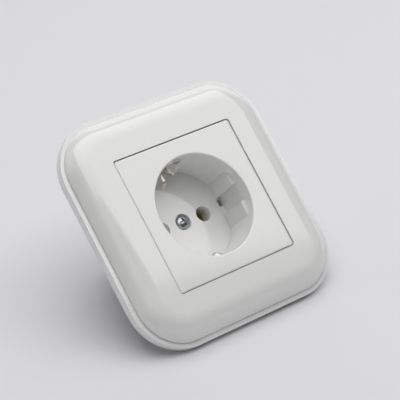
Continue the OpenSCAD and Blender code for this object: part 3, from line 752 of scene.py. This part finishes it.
# Outline of the clips' strips, as shares of their length
NOTCH_END, NOTCH_SLOPE = 0.42, 0.05  # end of the tongue's notch, and length of its slanting side
TONGUE_ROUND, TONGUE_ROUND_LENGTH = 0.5, 0.16  # start and length of the tongue's round end
FINGER_ROUND, FINGER_ROUND_LENGTH = 0.9, 0.1  # start and length of the finger's round end


def round_end(share, start, length, fullness, least):
    """Share of its width, from 1 down to least, that a strip with a round end has at share."""
    fall = min(max((share - start) / length, 0.0), 1.0)
    return max(math.sqrt(1.0 - fall * fall * fullness), least)


def tongue_span(share):
    """Left and right edge of a clip's tongue: notched at the right, with a round end."""
    clips = bpy.context.scene.socket_clips
    middle = (clips.tongue_left + clips.tongue_right) / 2
    half = (clips.tongue_right - clips.tongue_left) / 2
    if share < TONGUE_ROUND:
        open_up = min(max((share - NOTCH_END) / NOTCH_SLOPE, 0.0), 1.0)
        return clips.tongue_left, clips.notch + (clips.tongue_right - clips.notch) * open_up
    keep = half * round_end(share, TONGUE_ROUND, TONGUE_ROUND_LENGTH, fullness=0.94, least=0.25)
    return middle - keep, middle + keep


def finger_span(share):
    """Left and right edge of a clip's narrow finger, with a round end."""
    clips = bpy.context.scene.socket_clips
    half = clips.finger_width / 2
    middle = clips.finger_left + half
    keep = half * round_end(share, FINGER_ROUND, FINGER_ROUND_LENGTH, fullness=1.0, least=0.2)
    return middle - keep, middle + keep


# The cut that takes off the plain clips
CUT_HALF = 0.01  # half its width
CUT_PAST = 0.001  # how far it goes past the strap
CUT_FOOT = 0.0095  # its foot below the strap's front
CUT_INNER = 0.55  # its inner end, as a share of the risers' distance
CUT_CLEAR = 0.0001  # what it keeps off the risers

# The formed strips
STRIP_OVERLAP = 0.0004  # how far they reach into the riser
STRIP_BEND = 0.00075  # radius of their bends
STRIP_POINTS = 72
STRIP_SHARE = 0.97  # their thickness, as a share of the sheet's
TONGUE_DEPTHS = (-0.0001, 0.0033, 0.0078)  # crest, innermost bend and end below the front
TONGUE_RETURN = 0.003  # how far inside the riser a tongue ends
FINGER_DEPTHS = (0.0040, 0.0042, 0.0068)  # outer bend, inner bend and end below the front
FINGER_RISE = 0.0015  # how far outside its reach a finger's inner bend is


class SOCKET_OT_earth_strap(BuildOperator, bpy.types.Operator):
    """Form the earth strap's clips and finish the strap in bright spring steel"""

    bl_idname = "socket.earth_strap"
    bl_label = "Earth strap"

    def execute(self, context):
        clips = context.scene.socket_clips
        low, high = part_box("earth_strap")
        sheet = high.z - clips.riser
        shoulder = low.y + clips.shoulder
        strap = nodes["earth_strap"].copy()
        strap.data = nodes["earth_strap"].data.copy()
        strap.name = "earth_strap_formed"
        context.scene.collection.objects.link(strap)
        # The clips come off above their shared riser and are formed anew
        front = low.y - CUT_PAST
        for end in (-1, 1):
            inner = end * clips.riser * CUT_INNER
            for foot, outer in (
                (low.y + CUT_FOOT, clips.riser - CUT_CLEAR), (shoulder, high.z + CUT_PAST),
            ):
                reach = sorted((inner, end * outer))
                cut_away(strap, block(
                    "clip_cutter", (-CUT_HALF, front, reach[0]), (CUT_HALF, foot, reach[1])
                ))
        parts = []
        middle = clips.riser + sheet / 2
        root = (middle, shoulder + STRIP_OVERLAP)
        for end, finger_reach in ((1, clips.finger_reach), (-1, clips.low_finger_reach)):
            crest, bend, tip = (low.y + depth for depth in TONGUE_DEPTHS)
            tongue = [
                root, (middle, crest), (clips.tongue_reach + sheet / 2, bend),
                (middle - TONGUE_RETURN, tip),
            ]
            turn, bend, tip = (low.y + depth for depth in FINGER_DEPTHS)
            finger = [
                root, (middle, turn), (finger_reach + FINGER_RISE, bend),
                (finger_reach + sheet / 2, tip),
            ]
            for kind, corners, span, crown in (
                ("tongue", tongue, tongue_span, 0.0),
                ("finger", finger, finger_span, clips.finger_crown),
            ):
                line = bent_path([(end * z, y) for z, y in corners], STRIP_BEND, STRIP_POINTS)
                parts.append(formed_sheet(f"{kind}_part", line, span, sheet * STRIP_SHARE, crown))
        joined(strap, parts)
        paint(strap, spring_steel())
        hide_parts("earth_strap")
        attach(strap, "socket")
        return {"FINISHED"}


class SOCKET_OT_support_ring(BuildOperator, bpy.types.Operator):
    """Finish the support ring and its rivets"""

    bl_idname = "socket.support_ring"
    bl_label = "Support ring"

    def execute(self, context):
        edge = context.scene.socket_finishes.metal_edge
        paint(nodes["support_ring"], sheet_steel())
        paint(nodes["ring_rivets"], plated_zinc())
        round_edges(nodes["ring_rivets"], RIVET_EDGE_SHARE * edge)
        return {"FINISHED"}


class SOCKET_OT_base(BuildOperator, bpy.types.Operator):
    """Finish the moulded base and the rear cover of its contact housing"""

    bl_idname = "socket.base"
    bl_label = "Base and rear cover"

    def execute(self, context):
        for name in ("socket_base", "base_back"):
            paint(nodes[name], matt_white())
        round_edges(nodes["socket_base"], context.scene.socket_finishes.edge)
        return {"FINISHED"}


class SOCKET_OT_fasteners(BuildOperator, bpy.types.Operator):
    """Finish the rear cover's screws, the terminal screws and the threaded bush"""

    bl_idname = "socket.fasteners"
    bl_label = "Small fasteners"

    def execute(self, context):
        edge = context.scene.socket_finishes.metal_edge
        terminal_screws = [f"{pole}_terminal_screw" for pole in ("live", "neutral", "earth")]
        for name in ("back_screws", *terminal_screws):
            paint(nodes[name], plated_zinc())
            round_edges(nodes[name], edge)
        paint(nodes["screw_bush"], drawn_brass())
        return {"FINISHED"}


class SOCKET_OT_contacts(BuildOperator, bpy.types.Operator):
    """Finish the pin contacts and the terminal blocks in brass"""

    bl_idname = "socket.contacts"
    bl_label = "Contacts and terminals"

    def execute(self, context):
        edge = context.scene.socket_finishes.metal_edge
        terminals = [f"{pole}_terminal" for pole in ("live", "neutral", "earth")]
        for name in ("live_contact", "neutral_contact", *terminals):
            paint(nodes[name], drawn_brass())
            round_edges(nodes[name], edge)
        return {"FINISHED"}


class SOCKET_OT_claws(BuildOperator, bpy.types.Operator):
    """Finish the spreading claws and their nuts"""

    bl_idname = "socket.claws"
    bl_label = "Claws and nuts"

    def execute(self, context):
        edge = context.scene.socket_finishes.metal_edge
        for side in ("left", "right"):
            paint(nodes[f"claw_{side}"], sheet_steel())
            round_edges(nodes[f"claw_{side}"], edge)
            paint(nodes[f"claw_nut_{side}"], plated_zinc())
            round_edges(nodes[f"claw_nut_{side}"], edge)
        return {"FINISHED"}


class SOCKET_OT_claw_screws(BuildOperator, bpy.types.Operator):
    """Build the claw screws with their pan heads, cross recesses and threads"""

    bl_idname = "socket.claw_screws"
    bl_label = "Claw screws"

    def execute(self, context):
        settings = context.scene.socket_screws
        for side in ("left", "right"):
            piece = screw(
                f"claw_screw_{side}_threaded", f"claw_screw_{side}", head_height=0.0022,
                pitch=settings.claw_pitch, dome_share=0.4,
            )
            paint(piece, plated_zinc())
            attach(piece, f"{side}_claw_screw")
        return {"FINISHED"}


# The photograph's viewing direction and the floor that the leaning socket rests on
VIEW_RIGHT = Vector((0.774, -0.434, -0.461))
VIEW_DOWN = Vector((-0.318, 0.363, -0.876))
VIEW_PLACE = Vector((-0.34862, -0.53244, -0.08871))
FLOOR_UP = Vector((0.0, -0.729, 0.685))
SENSOR_WIDTH = 36

# Softboxes: name, brightness setting, place, the way their width runs, width and height. Places
# and ways are given to the right, up from the floor and away from the camera.
# The key hangs level, and its front right edge makes the line in the frame's gloss.
SOFTBOXES = (
    ("key_softbox", "key_light", (0.18, 0.9, 0.128), (0.846, 0.0, 0.533), 1.45, 1.2),
    ("back_softbox", "back_light", (0.0, 0.5, 1.4), (1.0, 0.0, 0.0), 2.0, 0.9),
    ("left_softbox", "left_light", (-1.2, 0.6, 0.1), (0.0, 0.0, 1.0), 1.0, 1.0),
    ("front_softbox", "front_light", (0.0, 0.9, -1.0), (1.0, 0.0, 0.0), 0.8, 0.6),
)
SKY_COLOUR = (0.98, 0.985, 1.0)


def view_axes():
    """Right, up and forward of the camera as unit vectors at right angles."""
    right = VIEW_RIGHT.normalized()
    down = (VIEW_DOWN - VIEW_DOWN.dot(right) * right).normalized()
    return right, -down, right.cross(down)


def softbox(name, place, shine, along, width, height, brightness):
    """A softbox at place that shines along shine, its width lying as near to along as it can."""
    data = bpy.data.lights.new(name, "AREA")
    data.shape = "RECTANGLE"
    data.size = width
    data.size_y = height
    # An even softbox has this power when it looks as bright as brightness
    data.energy = brightness * math.pi * width * height
    obj = bpy.data.objects.new(name, data)
    bpy.context.scene.collection.objects.link(obj)
    axis = -shine.normalized()
    across = (along - along.dot(axis) * axis).normalized()
    turn = Matrix((across, axis.cross(across), axis)).transposed().to_4x4()
    turn.translation = place
    obj.matrix_world = turn
    return obj


def floor_material(colour):
    """Matt floor that can't be seen from behind, so that it never hides the socket."""
    material, shader = base_material("Pale floor")
    shader.inputs["Base Color"].default_value = rgba(colour)
    shader.inputs["Roughness"].default_value = 0.9
    shader.inputs["Specular IOR Level"].default_value = 0.2
    tree = material.node_tree
    side = tree.nodes.new("ShaderNodeNewGeometry")
    clear = tree.nodes.new("ShaderNodeBsdfTransparent")
    mix = tree.nodes.new("ShaderNodeMixShader")
    tree.links.new(side.outputs["Backfacing"], mix.inputs["Fac"])
    tree.links.new(shader.outputs["BSDF"], mix.inputs[1])
    tree.links.new(clear.outputs["BSDF"], mix.inputs[2])
    tree.links.new(mix.outputs["Shader"], tree.nodes["Material Output"].inputs["Surface"])
    return material


class SOCKET_OT_stage(BuildOperator, bpy.types.Operator):
    """Add the pale floor, the soft lamps and the camera"""

    bl_idname = "socket.stage"
    bl_label = "Stage"

    def execute(self, context):
        scene = context.scene
        settings = scene.socket_stage
        right, up, forward = view_axes()
        normal = FLOOR_UP.normalized()
        back = (forward - forward.dot(normal) * normal).normalized()

        # The floor touches the foot of the frame's rim
        foot = Vector((0.0, 0.0, cad_bounds[0][2]))
        half = settings.floor_size / 2
        side = back.cross(normal)
        if side.dot(right) < 0:
            raise RuntimeError("The floor's axes are turned the wrong way")
        signs = ((-1, -1), (1, -1), (1, 1), (-1, 1))
        corners = [foot + half * (a * side + b * back) for a, b in signs]
        floor = new_object("floor", corners, [(0, 1, 2, 3)], smooth=False)
        if floor.data.polygons[0].normal.dot(normal) < 0:
            floor.data.flip_normals()
        paint(floor, floor_material(settings.floor_colour))

        axes = Matrix((side, normal, back)).transposed()
        for name, setting, place, way, width, height in SOFTBOXES:
            place, way = axes @ Vector(place), axes @ Vector(way)
            # The others shine at the socket
            shine = -normal if name == "key_softbox" else -place
            brightness = getattr(settings, setting)
            softbox(name, place, shine, way, width, height, brightness)

        world = bpy.data.worlds.new("Even light")
        world.use_nodes = True
        sky = world.node_tree.nodes["Background"]
        sky.inputs["Color"].default_value = rgba(SKY_COLOUR)
        sky.inputs["Strength"].default_value = settings.sky_strength
        scene.world = world

        data = bpy.data.cameras.new("photo_camera")
        data.lens = settings.lens
        data.sensor_width = SENSOR_WIDTH
        camera = bpy.data.objects.new("photo_camera", data)
        scene.collection.objects.link(camera)
        place = Matrix((right, up, -forward)).transposed().to_4x4()
        place.translation = VIEW_PLACE
        camera.matrix_world = place
        scene.camera = camera
        scene.view_settings.view_transform = "Standard"
        return {"FINISHED"}


class SOCKET_PT_build(bpy.types.Panel):
    """Lists the socket's pieces and settings"""

    bl_label = "Wall socket"
    bl_idname = "SOCKET_PT_build"
    bl_space_type = "VIEW_3D"
    bl_region_type = "UI"
    bl_category = "Wall socket"

    def draw(self, context):
        column = self.layout.column()
        for group_name in SETTINGS:
            group = getattr(context.scene, group_name)
            for setting in group.bl_rna.properties:
                if setting.identifier not in ("rna_type", "name"):
                    column.prop(group, setting.identifier)
        for operator in OPERATORS:
            column.operator(operator.bl_idname)


SETTINGS = {
    "socket_colours": SocketColours,
    "socket_finishes": SocketFinishes,
    "socket_screws": SocketScrews,
    "socket_clips": SocketClips,
    "socket_stage": SocketStage,
}
OPERATORS = (
    SOCKET_OT_cover_frame,
    SOCKET_OT_centre_plate,
    SOCKET_OT_centre_screw,
    SOCKET_OT_earth_strap,
    SOCKET_OT_support_ring,
    SOCKET_OT_base,
    SOCKET_OT_fasteners,
    SOCKET_OT_contacts,
    SOCKET_OT_claws,
    SOCKET_OT_claw_screws,
    SOCKET_OT_stage,
)


def register():
    """Registers the settings, operators and panel."""
    for cls in (*SETTINGS.values(), *OPERATORS, SOCKET_PT_build):
        bpy.utils.register_class(cls)
    for name, cls in SETTINGS.items():
        setattr(bpy.types.Scene, name, PointerProperty(type=cls))


def unregister():
    """Takes them away again."""
    for name in SETTINGS:
        delattr(bpy.types.Scene, name)
    for cls in (SOCKET_PT_build, *reversed(OPERATORS), *SETTINGS.values()):
        bpy.utils.unregister_class(cls)


def main():
    """Builds the looks in order."""
    register()
    for operator in OPERATORS:
        family, action = operator.bl_idname.split(".")
        getattr(getattr(bpy.ops, family), action)()


if __name__ == "__main__":
    main()
